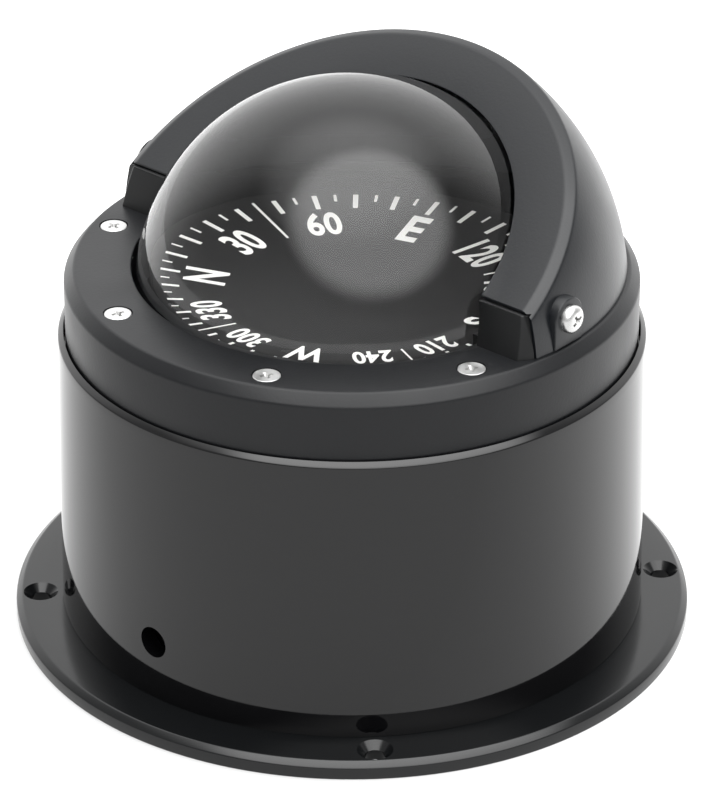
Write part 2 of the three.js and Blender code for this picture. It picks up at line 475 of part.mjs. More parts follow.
// Each corrector shaft has a driver slot at one end and a small bar magnet across it.
const shaft = rod(SHAFT_R, -BLOCK_HALF - 4, MAGNET_AT + 6)
  .subtract(block([-0.5, -4, -BLOCK_HALF - 5], [0.5, 4, -BLOCK_HALF - 2.6]))
  .subtract(rod(MAGNET_R + 0.05, -4, 4).rotate([90, 0, 0]).translate([0, 0, MAGNET_AT]));
const crossMagnet = rod(MAGNET_R, -MAGNET_HALF, MAGNET_HALF).rotate([90, 0, 0]).translate([0, 0, MAGNET_AT]);
piece("corrector_shaft_fore", along("y", shaft).translate([0, 0, CABLE_Z]), BRASS);
piece("corrector_magnet_fore", along("y", crossMagnet).translate([0, 0, CABLE_Z]), 0x6f7276);
piece("corrector_shaft_cross", along("x", shaft).translate([0, 0, CROSS_Z]), BRASS);
piece("corrector_magnet_cross", along("x", crossMagnet).translate([0, 0, CROSS_Z]), 0x6f7276);

export default root;
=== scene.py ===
"""Looks of the binnacle compass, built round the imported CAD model.

Metres, +Z up, the helmsman at -Y. Every new piece is a mesh with its place in its own vertices.
"""

import math

import bmesh
import bpy
from bpy.props import FloatProperty, FloatVectorProperty, IntProperty, PointerProperty
from mathutils import Matrix, Vector


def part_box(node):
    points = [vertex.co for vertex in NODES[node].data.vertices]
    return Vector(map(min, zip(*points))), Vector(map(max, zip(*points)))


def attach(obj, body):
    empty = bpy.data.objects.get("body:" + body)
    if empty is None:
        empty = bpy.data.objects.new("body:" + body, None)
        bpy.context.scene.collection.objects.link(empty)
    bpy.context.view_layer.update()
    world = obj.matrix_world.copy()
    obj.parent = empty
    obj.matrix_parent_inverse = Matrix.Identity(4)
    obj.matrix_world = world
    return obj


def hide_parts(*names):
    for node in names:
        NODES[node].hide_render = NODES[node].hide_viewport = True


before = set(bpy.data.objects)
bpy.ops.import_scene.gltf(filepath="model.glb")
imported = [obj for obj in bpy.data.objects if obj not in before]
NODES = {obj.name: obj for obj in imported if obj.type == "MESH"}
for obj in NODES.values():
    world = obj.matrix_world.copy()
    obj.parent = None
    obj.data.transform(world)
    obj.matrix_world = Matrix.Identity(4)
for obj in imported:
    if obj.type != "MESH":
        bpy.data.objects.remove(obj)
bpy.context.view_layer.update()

bl_info = {
    "name": "Binnacle compass looks",
    "version": (1, 0, 0),
    "blender": (4, 5, 0),
    "location": "View3D > Sidebar > Compass",
    "description": "Builds the visible pieces and finishes of a domed binnacle compass",
    "category": "Object",
}

MM = 0.001


def top_of(name):
    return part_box(name)[1][2]


def bottom_of(name):
    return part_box(name)[0][2]


def reach_of(name):
    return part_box(name)[1][0]


# ------------------------------------------------------------------ colours and settings


def linear(hex_colour):
    """An sRGB hex value as the linear colour that a shader takes."""
    found = []
    for i in (0, 2, 4):
        c = int(hex_colour[i : i + 2], 16) / 255
        found.append(c / 12.92 if c <= 0.04045 else ((c + 0.055) / 1.055) ** 2.4)
    return (*found, 1.0)


def colour(name, hex_colour, words):
    return FloatVectorProperty(
        name=name, description=words, subtype="COLOR", size=4, min=0, max=1, default=linear(hex_colour)
    )


def length(name, metres, words):
    return FloatProperty(
        name=name, description=words, unit="LENGTH", subtype="DISTANCE", default=metres, min=0
    )


class CompassSizes(bpy.types.PropertyGroup):
    """Sizes that a user may change. They start from the CAD model."""

    flange_r: length("Flange radius", reach_of("base_flange"), "Outer radius of the mounting flange")
    flange_t: length("Flange thickness", top_of("base_flange"), "Height of the flange's upper face")
    tube_r: length("Housing radius", reach_of("housing_tube"), "Outer radius of the housing at its foot")
    tube_taper: length("Housing taper", 0.8 * MM, "How much slimmer the housing is at its rim")
    tube_top: length("Housing height", top_of("housing_tube"), "Height of the housing's rim")
    recess_r: length("Rim recess radius", 58.34 * MM, "Radius of the recess that the head drops into")
    bore_r: length("Housing bore", 56.2 * MM, "Inner radius of the housing")
    cable_hole_r: length("Cable hole radius", 3.3 * MM, "Radius of the hole through the housing's wall")
    cable_hole_z: length("Cable hole height", 16.335 * MM, "Height of the cable hole's centre")
    bezel_r: length("Bezel radius", reach_of("bezel_ring"), "Outer radius of the bezel ring")
    bezel_top: length("Bezel height", top_of("bezel_ring"), "Height of the bezel ring's upper face")
    bezel_bore: length("Bezel bore", 44.3 * MM, "Inner radius of the bezel ring")
    bezel_chamfer: length("Bezel chamfer", 2.05 * MM, "Width of the chamfer round the bezel ring")
    screw_circle: length("Screw circle", 51.3 * MM, "Radius of the circle of bezel screws")
    dome_r: length("Dome radius", top_of("dome") - 72 * MM, "Outer radius of the clear dome")
    dome_z: length("Dome centre", 72 * MM, "Height of the centre of the dome's sphere")
    dome_wall: length("Dome wall", 2.6 * MM, "Thickness of the clear dome")
    card_r: length("Card radius", reach_of("card"), "Radius of the compass card")
    tick_out: length("Tick ring", 27.4 * MM, "Outer radius of the card's marks")
    hood_in: length("Hood inner radius", 44.2 * MM, "Inner radius of the hood")
    hood_r: length("Hood outer radius", 55.6 * MM, "Outer radius of the hood")
    hood_bevel: length("Hood bevel", 1.55 * MM, "Width of the bevel round the hood's front face")
    turn_segments: IntProperty(
        name="Segments", description="Segments round the housing's turned pieces",
        default=192, min=48, max=512,
    )


class CompassColours(bpy.types.PropertyGroup):
    """Colours that a user may change."""

    flange: colour("Flange", "0c0d0e", "Black of the turned and anodised flange")
    housing: colour("Housing", "060607", "Black of the polished housing")
    bezel: colour("Bezel ring", "111214", "Black of the moulded bezel ring")
    hood: colour("Hood", "101215", "Black of the moulded hood")
    post: colour("Hood posts", "090a0b", "Black of the hood's posts")
    steel: colour("Screws", "d6d6d5", "Stainless steel of the screws")
    brass: colour("Brass", "b08d4a", "Brass of the shafts, pins and counterweight")
    card: colour("Card", "070708", "Black of the card")
    marks: colour("Card marks", "f4f4f0", "White of the card's print")
    rubber: colour("Rubber", "0e0e0f", "Black of the gaskets and diaphragm")
    bowl: colour("Bowl", "141517", "Black of the bowl and corrector block")
    lamp: colour("Night-light", "8c1512", "Red of the night-light")
    jewel: colour("Jewel", "6e1530", "Ruby of the pivot's jewel")
    floor: colour("Floor", "979797", "Pale floor")


def sizes():
    return bpy.context.scene.compass_sizes


def colours():
    return bpy.context.scene.compass_colours


# ------------------------------------------------------------------ materials


def add(tree, kind, settings=None, links=None):
    """Adds a node with its settings, attributes or input values, and its links from other sockets."""
    node = tree.nodes.new(kind)
    for key, value in (settings or {}).items():
        if isinstance(key, int) or key in node.inputs:
            node.inputs[key].default_value = value
        else:
            setattr(node, key, value)
    for key, source in (links or {}).items():
        tree.links.new(source, node.inputs[key])
    return node


def blank(name):
    """A new material with an output, its tree and its object coordinates."""
    m = bpy.data.materials.new(name)
    m.use_nodes = True
    m.node_tree.nodes.clear()
    out = add(m.node_tree, "ShaderNodeOutputMaterial")
    place = add(m.node_tree, "ShaderNodeTexCoord")
    return m, m.node_tree, out, place.outputs["Object"]


def ramp(tree, source, low, high, to_low, to_high):
    """source from low..high to to_low..to_high."""
    return add(
        tree,
        "ShaderNodeMapRange",
        {1: low, 2: high, 3: to_low, 4: to_high},
        {0: source},
    ).outputs[0]


def tinted(tree, colour_value, source, low=0.75, high=1.25):
    """The colour, darker and lighter as source goes from 0 to 1."""
    pale = [min(1.0, c * high) for c in colour_value[:3]] + [1.0]
    dark = [c * low for c in colour_value[:3]] + [1.0]
    return add(
        tree, "ShaderNodeMix", {"data_type": "RGBA", 6: dark, 7: pale}, {0: source}
    ).outputs[2]


def grained(tree, height, strength, depth):
    """A Bump node that raises the surface by up to depth where height is 1."""
    return add(tree, "ShaderNodeBump", {"Strength": strength, "Distance": depth}, {"Height": height})


def moulded_plastic(name, base, roughness, grain_mm, depth_mm, ior=1.49):
    """ABS or acetal moulded in a spark-eroded tool: an even fine grain breaks the reflection into a soft
    matte sheen, with faint patches where handling and flow have polished it."""
    m, tree, out, place = blank(name)
    grain = add(tree, "ShaderNodeTexNoise", {"Scale": 1 / (grain_mm * MM), "Detail": 2.0}, {"Vector": place})
    patch = add(tree, "ShaderNodeTexNoise", {"Scale": 1 / (18 * MM), "Detail": 3.0}, {"Vector": place})
    speck = add(tree, "ShaderNodeTexVoronoi", {"Scale": 1 / (grain_mm * 1.7 * MM)}, {"Vector": place})
    height = add(
        tree, "ShaderNodeMix", {0: 0.35}, {2: grain.outputs["Fac"], 3: speck.outputs["Distance"]}
    ).outputs[0]
    bump = grained(tree, height, 1.0, depth_mm * MM)
    rough = ramp(tree, patch.outputs["Fac"], 0.3, 0.7, roughness - 0.04, roughness + 0.05)
    shader = add(
        tree,
        "ShaderNodeBsdfPrincipled",
        {"IOR": ior},
        {
            "Base Color": tinted(tree, base, grain.outputs["Fac"]),
            "Roughness": rough,
            "Normal": bump.outputs[0],
        },
    )
    tree.links.new(shader.outputs[0], out.inputs[0])
    return m


def turned_anodised(name, base, roughness=0.14):
    """Aluminium faced on a lathe and dyed black: tool marks run in rings round the centre, so the sheen
    spreads across them, and the dye leaves the metal with a soft dark gloss."""
    m, tree, out, place = blank(name)
    apart = add(tree, "ShaderNodeSeparateXYZ", links={0: place})
    flat = add(tree, "ShaderNodeCombineXYZ", links={0: apart.outputs[0], 1: apart.outputs[1]})
    radius = add(tree, "ShaderNodeVectorMath", {"operation": "LENGTH"}, {0: flat.outputs[0]}).outputs["Value"]
    across = add(tree, "ShaderNodeMath", {"operation": "ADD"}, {0: radius, 1: apart.outputs[2]}).outputs[0]
    # tool marks every 0.35 mm, coarser than the real feed so that they show
    rings = add(
        tree,
        "ShaderNodeTexNoise",
        {"noise_dimensions": "1D", "Scale": 1 / (0.35 * MM), "Detail": 2.0, "Roughness": 0.6},
        {"W": across},
    )
    cloud = add(tree, "ShaderNodeTexNoise", {"Scale": 1 / (14 * MM), "Detail": 3.0}, {"Vector": place})
    bump = grained(tree, rings.outputs["Fac"], 0.35, 0.012 * MM)
    rough = ramp(tree, cloud.outputs["Fac"], 0.3, 0.7, roughness - 0.03, roughness + 0.05)
    shader = add(
        tree,
        "ShaderNodeBsdfPrincipled",
        {"IOR": 1.45},
        {
            "Base Color": tinted(tree, base, rings.outputs["Fac"], 0.8, 1.3),
            "Roughness": rough,
            "Normal": bump.outputs[0],
        },
    )
    tree.links.new(shader.outputs[0], out.inputs[0])
    return m


def polished_enamel(name, base):
    """Deep black enamel rubbed to a mirror gloss: reflections stay sharp, with the faintest ripple of the
    coat and a thin haze of fine dust and wipe marks."""
    m, tree, out, place = blank(name)
    ripple = add(tree, "ShaderNodeTexNoise", {"Scale": 1 / (6 * MM), "Detail": 1.0}, {"Vector": place})
    wipe_place = add(tree, "ShaderNodeMapping", {"Scale": (1.0, 1.0, 6.0)}, {"Vector": place})
    wipe = add(
        tree, "ShaderNodeTexNoise", {"Scale": 1 / (9 * MM), "Detail": 4.0, "Roughness": 0.7},
        {"Vector": wipe_place.outputs[0]},
    )
    bump = grained(tree, ripple.outputs["Fac"], 0.12, 0.02 * MM)
    rough = ramp(tree, wipe.outputs["Fac"], 0.35, 0.75, 0.035, 0.075)
    shader = add(
        tree,
        "ShaderNodeBsdfPrincipled",
        {"IOR": 1.5},
        {
            "Base Color": tinted(tree, base, wipe.outputs["Fac"], 0.7, 1.5),
            "Roughness": rough,
            "Normal": bump.outputs[0],
        },
    )
    tree.links.new(shader.outputs[0], out.inputs[0])
    return m


def metal(name, base, roughness, grain_mm):
    """Bare machined metal, stainless steel or brass: a bright tinted mirror, dulled by fine scratches and
    tumbling."""
    m, tree, out, place = blank(name)
    scratch_place = add(tree, "ShaderNodeMapping", {"Scale": (1.0, 5.0, 1.0)}, {"Vector": place})
    scratch = add(
        tree, "ShaderNodeTexNoise", {"Scale": 1 / (grain_mm * MM), "Detail": 3.0},
        {"Vector": scratch_place.outputs[0]},
    )
    cloud = add(tree, "ShaderNodeTexNoise", {"Scale": 1 / (2.5 * MM), "Detail": 2.0}, {"Vector": place})
    bump = grained(tree, scratch.outputs["Fac"], 0.4, 0.01 * MM)
    rough = ramp(tree, cloud.outputs["Fac"], 0.3, 0.7, roughness - 0.07, roughness + 0.08)
    shader = add(
        tree,
        "ShaderNodeBsdfPrincipled",
        {"Metallic": 1.0},
        {
            "Base Color": tinted(tree, base, cloud.outputs["Fac"], 0.82, 1.1),
            "Roughness": rough,
            "Normal": bump.outputs[0],
        },
    )
    tree.links.new(shader.outputs[0], out.inputs[0])
    return m


def clear_skin(name, ior, polish_mm):
    """Cast acrylic polished clear: it bends and mirrors like glass, with a polish so fine that only the
    faintest waviness shows."""
    m, tree, out, place = blank(name)
    wave = add(tree, "ShaderNodeTexNoise", {"Scale": 1 / (polish_mm * MM), "Detail": 1.0}, {"Vector": place})
    bump = grained(tree, wave.outputs["Fac"], 0.05, 0.01 * MM)
    glass = add(
        tree,
        "ShaderNodeBsdfPrincipled",
        {"Base Color": (1, 1, 1, 1), "Roughness": 0.0, "IOR": ior, "Transmission Weight": 1.0},
        {"Normal": bump.outputs[0]},
    )
    tree.links.new(glass.outputs[0], out.inputs[0])
    return m


def screen_ink(name, base):
    """Thick white screen-printed ink: matte and bright, with the slightly uneven cover of a mesh screen."""
    m, tree, out, place = blank(name)
    mesh_mark = add(tree, "ShaderNodeTexNoise", {"Scale": 1 / (0.25 * MM), "Detail": 2.0}, {"Vector": place})
    bump = grained(tree, mesh_mark.outputs["Fac"], 0.3, 0.01 * MM)
    shader = add(
        tree,
        "ShaderNodeBsdfPrincipled",
        {"Roughness": 0.6},
        {
            "Base Color": tinted(tree, base, mesh_mark.outputs["Fac"], 0.93, 1.0),
            "Normal": bump.outputs[0],
        },
    )
    tree.links.new(shader.outputs[0], out.inputs[0])
    return m


def soft_rubber(name, base):
    """Moulded nitrile rubber: a dull, slightly dusty black."""
    m, tree, out, place = blank(name)
    dust = add(tree, "ShaderNodeTexNoise", {"Scale": 1 / (1.2 * MM), "Detail": 4.0}, {"Vector": place})
    bump = grained(tree, dust.outputs["Fac"], 0.4, 0.03 * MM)
    shader = add(
        tree,
        "ShaderNodeBsdfPrincipled",
        {"Roughness": 0.8},
        {"Base Color": tinted(tree, base, dust.outputs["Fac"], 0.7, 1.5), "Normal": bump.outputs[0]},
    )
    tree.links.new(shader.outputs[0], out.inputs[0])
    return m


def studio_floor(name, base):
    """White board with the faintest fibre and a painted glow: it gives out light of its own, more strongly
    towards the bow, and none under the compass."""
    m, tree, out, place = blank(name)
    fibre = add(tree, "ShaderNodeTexNoise", {"Scale": 1 / (3 * MM), "Detail": 3.0}, {"Vector": place})
    ahead = (-0.278, 1.083, 0)  # the way the painted glow grows
    along = add(tree, "ShaderNodeVectorMath", {"operation": "DOT_PRODUCT", 1: ahead}, {0: place})
    # painted glow: the board gives out light of its own, growing towards the bow
    glow = ramp(tree, along.outputs["Value"], -75 * MM, 160 * MM, 0.4, 1.15)
    far = add(tree, "ShaderNodeVectorMath", {"operation": "LENGTH"}, {0: place})
    # the painted glow stops under the compass, so the board gives out no light there
    clear = ramp(tree, far.outputs["Value"], 66 * MM, 69.5 * MM, 0.0, 1.0)
    strength = add(tree, "ShaderNodeMath", {"operation": "MULTIPLY"}, {0: glow, 1: clear})
    shader = add(
        tree,
        "ShaderNodeBsdfPrincipled",
        {"Roughness": 0.9, "Emission Color": (1, 1, 1, 1)},
        {
            "Base Color": tinted(tree, base, fibre.outputs["Fac"], 0.99, 1.0),
            "Emission Strength": strength.outputs[0],
        },
    )
    tree.links.new(shader.outputs[0], out.inputs[0])
    return m


def soft_tent(world):
    """White tent with a large soft box over the front of the compass, a glow straight above and one
    behind. Each is a way to it, the cosines at which it starts and is whole, and its strength."""
    world.use_nodes = True
    tree = world.node_tree
    tree.nodes.clear()
    out = add(tree, "ShaderNodeOutputWorld")
    way = add(tree, "ShaderNodeTexCoord").outputs["Generated"]
    total = None
    for axis, low, high, strength in (
        ((0.410, -0.227, 0.883), 0.7, 0.85, 3.2),
        ((0.0, 0.0, 1.0), 0.7, 1.0, 2.0),
        ((-0.62, 0.71, 0.34), 0.3, 0.8, 1.1),
    ):
        towards = add(tree, "ShaderNodeVectorMath", {"operation": "DOT_PRODUCT", 1: axis}, {0: way})
        fall = {"interpolation_type": "SMOOTHSTEP", 1: low, 2: high, 3: 0.0, 4: strength}
        lobe = add(tree, "ShaderNodeMapRange", fall, {0: towards.outputs["Value"]}).outputs[0]
        links = {0: lobe} if total is None else {0: lobe, 1: total}
        total = add(tree, "ShaderNodeMath", {"operation": "ADD", 1: 0.5}, links).outputs[0]
    light = add(tree, "ShaderNodeBackground", {"Color": (1, 1, 1, 1)}, {"Strength": total})
    tree.links.new(light.outputs[0], out.inputs[0])


# ------------------------------------------------------------------ mesh tools


def finish_mesh(bm, name, material, sharp=30.0, turn_out=True):
    """Makes an object of bm, with its faces outwards and smooth up to the sharp angle."""
    bmesh.ops.remove_doubles(bm, verts=bm.verts, dist=1e-6)
    if turn_out:
        bmesh.ops.recalc_face_normals(bm, faces=bm.faces)
    mesh = bpy.data.meshes.new(name)
    bm.to_mesh(mesh)
    bm.free()
    obj = bpy.data.objects.new(name, mesh)
    bpy.context.scene.collection.objects.link(obj)
    shade(obj, sharp)
    for m in material if isinstance(material, (list, tuple)) else [material]:
        mesh.materials.append(m)
    return obj


def shade(obj, sharp=30.0):
    obj.data.polygons.foreach_set("use_smooth", [True] * len(obj.data.polygons))
    obj.data.set_sharp_from_angle(angle=math.radians(sharp))


def profile_bm(points, closed=True):
    """A bmesh with one wire of [radius, height] points in the XZ plane."""
    bm = bmesh.new()
    verts = [bm.verts.new((r, 0, z)) for r, z in points]
    for a, b in zip(verts, verts[1:]):
        bm.edges.new((a, b))
    if closed:
        bm.edges.new((verts[-1], verts[0]))
    return bm


def spun(points, segments, closed=True):
    """The wire of points turned a full circle about Z."""
    bm = profile_bm(points, closed)
    bmesh.ops.spin(
        bm,
        geom=bm.verts[:] + bm.edges[:],
        cent=(0, 0, 0),
        axis=(0, 0, 1),
        dvec=(0, 0, 0),
        angle=math.tau,
        steps=segments,
        use_merge=True,
        use_duplicate=False,
    )
    bmesh.ops.remove_doubles(bm, verts=bm.verts, dist=1e-7)
    bmesh.ops.recalc_face_normals(bm, faces=bm.faces)
    return bm


def softened(points, radii, steps=3):
    """The same closed outline with each corner rounded off by its own radius."""
    found = []
    n = len(points)
    for i, (r, radius) in enumerate(zip(points, radii)):
        here = Vector(r)
        if not radius:
            found.append(tuple(here))
            continue
        before = (Vector(points[i - 1]) - here)
        after = (Vector(points[(i + 1) % n]) - here)
        reach = min(radius, before.length * 0.45, after.length * 0.45)
        a, b = here + before.normalized() * reach, here + after.normalized() * reach
        for k in range(steps + 1):
            t = k / steps
            found.append(tuple(a * (1 - t) ** 2 + here * 2 * t * (1 - t) + b * t * t))
    return found


def arc(radius, z, start, end, steps):
    """Points of an arc about (0, z), in degrees above the horizontal."""
    return [
        (radius * math.cos(math.radians(start + (end - start) * i / steps)),
         z + radius * math.sin(math.radians(start + (end - start) * i / steps)))
        for i in range(steps + 1)
    ]


def cut(obj, cutters):
    """Takes the cutters out of obj, and removes them."""
    for c in cutters:
        mod = obj.modifiers.new("cut", "BOOLEAN")
        mod.operation = "DIFFERENCE"
        mod.solver = "EXACT"
        mod.object = c
    bpy.context.view_layer.update()
    done = bpy.data.meshes.new_from_object(obj.evaluated_get(bpy.context.evaluated_depsgraph_get()))
    obj.modifiers.clear()
    obj.data = done
    for c in cutters:
        bpy.data.objects.remove(c, do_unlink=True)
    if not obj.data.polygons:
        raise RuntimeError(f"{obj.name} is empty after its cuts")
    return obj


def rotated(bm, axis, degrees):
    turn = Matrix.Rotation(math.radians(degrees), 3, axis)
    bmesh.ops.rotate(bm, verts=bm.verts, cent=(0, 0, 0), matrix=turn)
    return bm


def moved(bm, x=0.0, y=0.0, z=0.0):
    bmesh.ops.translate(bm, verts=bm.verts, vec=(x, y, z))
    return bm


def drawn_out(bm, outline, vec):
    """Makes a face of the outline's points in bm and draws it out by vec into a closed body."""
    face = bm.faces.new([bm.verts.new(point) for point in outline])
    made = bmesh.ops.extrude_face_region(bm, geom=[face])["geom"]
    far = [g for g in made if isinstance(g, bmesh.types.BMVert)]
    bmesh.ops.translate(bm, verts=far, vec=vec)
    bmesh.ops.recalc_face_normals(bm, faces=bm.faces)
    return bm


def join_into(bm, other):
    """Adds other's mesh to bm."""
    spare = bpy.data.meshes.new("spare")
    other.to_mesh(spare)
    other.free()
    bm.from_mesh(spare)
    bpy.data.meshes.remove(spare)
    return bm


def dress(names, material):
    """Gives carried-over CAD nodes a material."""
    for name in names:
        mesh = NODES[name].data
        mesh.materials.clear()
        mesh.materials.append(material)


def place(obj, body, replaced, slot):
    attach(obj, body)
    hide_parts(*replaced)
    return obj


# ------------------------------------------------------------------ pieces


SCREW_R = 1.45 * MM  # shank of the 3 mm screws
HEAD_R = 2.72 * MM  # their countersunk heads
PAN_R = 2.85 * MM  # the pan heads on the hood
HOOD_SCREW_UP = 5.8 * MM  # the hood's screws above the bezel ring
SLOT_W = 0.62 * MM  # blades of the cross recess
FLANGE_HOLE_R = 2.1 * MM
TOOL_SEGMENTS = 48  # segments round a tool that cuts a screw hole


class COMPASS_OT_flange(bpy.types.Operator):
    """Round mounting flange with four countersunk holes"""

    bl_idname = "compass.flange"
    bl_label = "Flange"

    def execute(self, context):
        s, c = sizes(), colours()
        r, t, bore = s.flange_r, s.flange_t, s.bore_r
        outline = [(bore, 0), (r, 0), (r, t * 0.704), (r - 1.34 * MM, t), (bore, t)]
        rounding = [0.2 * MM, 0.3 * MM, 0.25 * MM, 0.25 * MM, 0.1 * MM]
        bm = spun(softened(outline, rounding, 3), s.turn_segments)
        finish = turned_anodised("black anodised turned aluminium", c.flange)
        obj = finish_mesh(bm, "turned_flange", finish)
        cutters = []
        at = (s.flange_r + s.tube_r) / 2 - 0.25 * MM
        for a in (45, 135, 225, 315):
            sink = 3.55 * MM
            tool = [(0, -MM), (FLANGE_HOLE_R, -MM), (FLANGE_HOLE_R, t - 1.5 * MM), (sink, t - 0.05 * MM),
                    (sink + 0.2 * MM, t + 0.15 * MM), (sink + 0.2 * MM, t + MM), (0, t + MM)]
            tool = rotated(moved(spun(tool, TOOL_SEGMENTS, closed=False), x=at), "Z", a)
            cutters.append(finish_mesh(tool, "tool", []))
        cut(obj, cutters)
        shade(obj, 25)
        place(obj, "housing", ["base_flange"], "flange_black")
        return {"FINISHED"}


class COMPASS_OT_housing(bpy.types.Operator):
    """Polished housing tube with its recessed rim and cable hole"""

    bl_idname = "compass.housing"
    bl_label = "Housing"

    def execute(self, context):
        s, c = sizes(), colours()
        foot, low, top = s.tube_r, s.flange_t, s.tube_top
        rim = foot - s.tube_taper
        seat = top - 4.1 * MM
        # many rows up the wall, so that the cable hole's long thin faces leave its shading alone
        rows, edge = 30, top - 0.95 * MM
        wall = [(foot + (rim - foot) * k / rows, low + (edge - low) * k / rows) for k in range(1, rows)]
        outline = [(s.bore_r, low), (foot, low), *wall, (rim, edge), (s.recess_r, top),
                   (s.recess_r, seat), (s.bore_r, seat)]
        rounding = [0, 0.12 * MM] + [0] * len(wall) + [0.3 * MM, 0.12 * MM, 0.1 * MM, 0.2 * MM]
        bm = spun(softened(outline, rounding, 4), s.turn_segments)
        obj = finish_mesh(bm, "polished_housing", polished_enamel("polished black enamel", c.housing))
        hole, flare = s.cable_hole_r, s.cable_hole_r + 0.35 * MM
        near, far = s.bore_r - 2 * MM, foot + 3 * MM
        tool = [(0, near), (hole, near), (hole, foot - 0.02 * MM), (flare, foot + 0.5 * MM), (flare, far),
                (0, far)]
        tool = moved(rotated(spun(tool, 64, closed=False), "X", 90), z=s.cable_hole_z)
        cut(obj, [finish_mesh(tool, "tool", [])])
        shade(obj, 25)
        place(obj, "housing", ["housing_tube"], "tube_gloss_black")
        return {"FINISHED"}


class COMPASS_OT_bezel(bpy.types.Operator):
    """Moulded bezel ring that clamps the dome, with eight countersunk holes"""

    bl_idname = "compass.bezel"
    bl_label = "Bezel ring"

    def execute(self, context):
        s, c = sizes(), colours()
        top, r, ch = s.bezel_top, s.bezel_r, s.bezel_chamfer
        under = bottom_of("bezel_ring")
        rabbet, wide = under + 4.1 * MM, s.bezel_bore + 4.4 * MM  # the step that holds the dome's flange
        outline = [(s.bezel_bore, rabbet), (s.bezel_bore, top), (r - ch, top), (r, top - ch * 1.15),
                   (r, under), (wide, under), (wide, rabbet)]
        rounding = [0.1 * MM, 0.35 * MM, 0.45 * MM, 0.45 * MM, 0.3 * MM, 0, 0]
        bm = spun(softened(outline, rounding, 4), s.turn_segments)
        finish = moulded_plastic("matte black ABS ring", c.bezel, 0.38, 0.45, 0.02, 1.38)
        obj = finish_mesh(bm, "moulded_bezel", finish)
        cutters = []
        for i in range(8):
            bore, sink = 1.7 * MM, 2.95 * MM
            tool = [(0, under - MM), (bore, under - MM), (bore, top - 1.7 * MM), (sink, top - 0.3 * MM),
                    (sink, top + MM), (0, top + MM)]
            tool = moved(spun(tool, TOOL_SEGMENTS, closed=False), x=s.screw_circle)
            tool = rotated(tool, "Z", 22.5 + 45 * i)
            cutters.append(finish_mesh(tool, "tool", []))
        cut(obj, cutters)
        shade(obj, 25)
        place(obj, "housing", ["bezel_ring"], "bezel_matte_black")
        return {"FINISHED"}


def recess_tools(top, depth, arm, width):
    """A Phillips driver's tip: two crossed blades that taper to the bottom of the recess, and its cone."""
    tools = []
    for turn in (0, 90):
        blade = bmesh.new()
        bmesh.ops.create_cube(blade, size=1.0)
        bmesh.ops.scale(blade, vec=(2 * arm, width, depth + 0.2 * MM), verts=blade.verts)
        moved(blade, z=top + 0.1 * MM - depth / 2)
        for v in blade.verts:
            if v.co.z < top:
                v.co.x *= 0.4
                v.co.y *= 0.6
        tools.append(finish_mesh(rotated(blade, "Z", turn + 0.01), "tool", []))
    past = top + 0.2 * MM
    cone = spun([(0, top - depth * 1.25), (arm * 0.52, past), (0, past)], 24, closed=False)
    return tools + [finish_mesh(cone, "tool", [])]


class COMPASS_OT_bezel_screws(bpy.types.Operator):
    """Eight stainless countersunk screws round the bezel ring"""

    bl_idname = "compass.bezel_screws"
    bl_label = "Bezel screws"

    def execute(self, context):
        s, c = sizes(), colours()
        steel = metal("tumbled stainless steel", c.steel, 0.42, 0.12)
        hidden = ["pivot_post", "post_screw_left", "post_screw_right"]
        dress(hidden + [f"long_screw_{i + 1}" for i in range(4)], steel)
        top, tip = s.bezel_top - 0.1 * MM, bottom_of("bezel_screw_1")
        for i in range(8):
            outline = [(0, tip), (SCREW_R, tip), (SCREW_R, top - 1.65 * MM), (HEAD_R, top - 0.28 * MM),
                       (HEAD_R, top - 0.08 * MM), (HEAD_R - 0.12 * MM, top), (0, top)]
            bm = spun(outline, 40, closed=False)
            obj = finish_mesh(bm, f"countersunk_screw_{i + 1}", steel)
            cut(obj, recess_tools(top, 1.25 * MM, 1.45 * MM, SLOT_W))
            obj.data.transform(Matrix.Rotation(math.radians((37 * i) % 90), 4, "Z"))
            obj.data.transform(Matrix.Translation((s.screw_circle, 0, 0)))
            obj.data.transform(Matrix.Rotation(math.radians(22.5 + 45 * i), 4, "Z"))
            shade(obj, 25)
            place(obj, "housing", [f"bezel_screw_{i + 1}"], "stainless")
        return {"FINISHED"}


class COMPASS_OT_dome(bpy.types.Operator):
    """Clear acrylic dome with the damping fluid against its inner skin"""

    bl_idname = "compass.dome"
    bl_label = "Dome"

    def execute(self, context):
        s = sizes()
        r, inner, z = s.dome_r, s.dome_r - s.dome_wall, s.dome_z
        foot, lip = bottom_of("dome"), 3.0 * MM
        outline = (
            [(r + 4.6 * MM, foot), (r + 4.6 * MM, foot + lip), (r, foot + lip)]
            + arc(r, z, 0, 90, 48)[:-1] + [(0, z + r)]
        )
        inside = [(0, z + inner)] + arc(inner, z, 90, 0, 48)[1:] + [(inner, foot)]
        bm = spun(outline + inside, 144)
        bmesh.ops.delete(bm, geom=[e for e in bm.edges if e.is_wire], context="EDGES")
        bmesh.ops.recalc_face_normals(bm, faces=bm.faces)
        for f in bm.faces:
            middle = f.calc_center_median()
            radial = Vector((middle.x, middle.y, max(0.0, middle.z - z)))
            f.material_index = 1 if radial.length and f.normal.dot(radial.normalized()) < -0.5 else 0
        # the outer skin bends light as acrylic in air does, the inner skin as acrylic against mineral fluid
        acrylic, fluid, wave_mm = 1.49, 1.41, 30
        skins = [
            clear_skin("polished clear acrylic", acrylic, wave_mm),
            clear_skin("acrylic against fluid", acrylic / fluid, wave_mm),
        ]
        obj = finish_mesh(bm, "clear_dome", skins, sharp=40, turn_out=False)
        place(obj, "housing", ["dome"], "clear_acrylic")
        return {"FINISHED"}


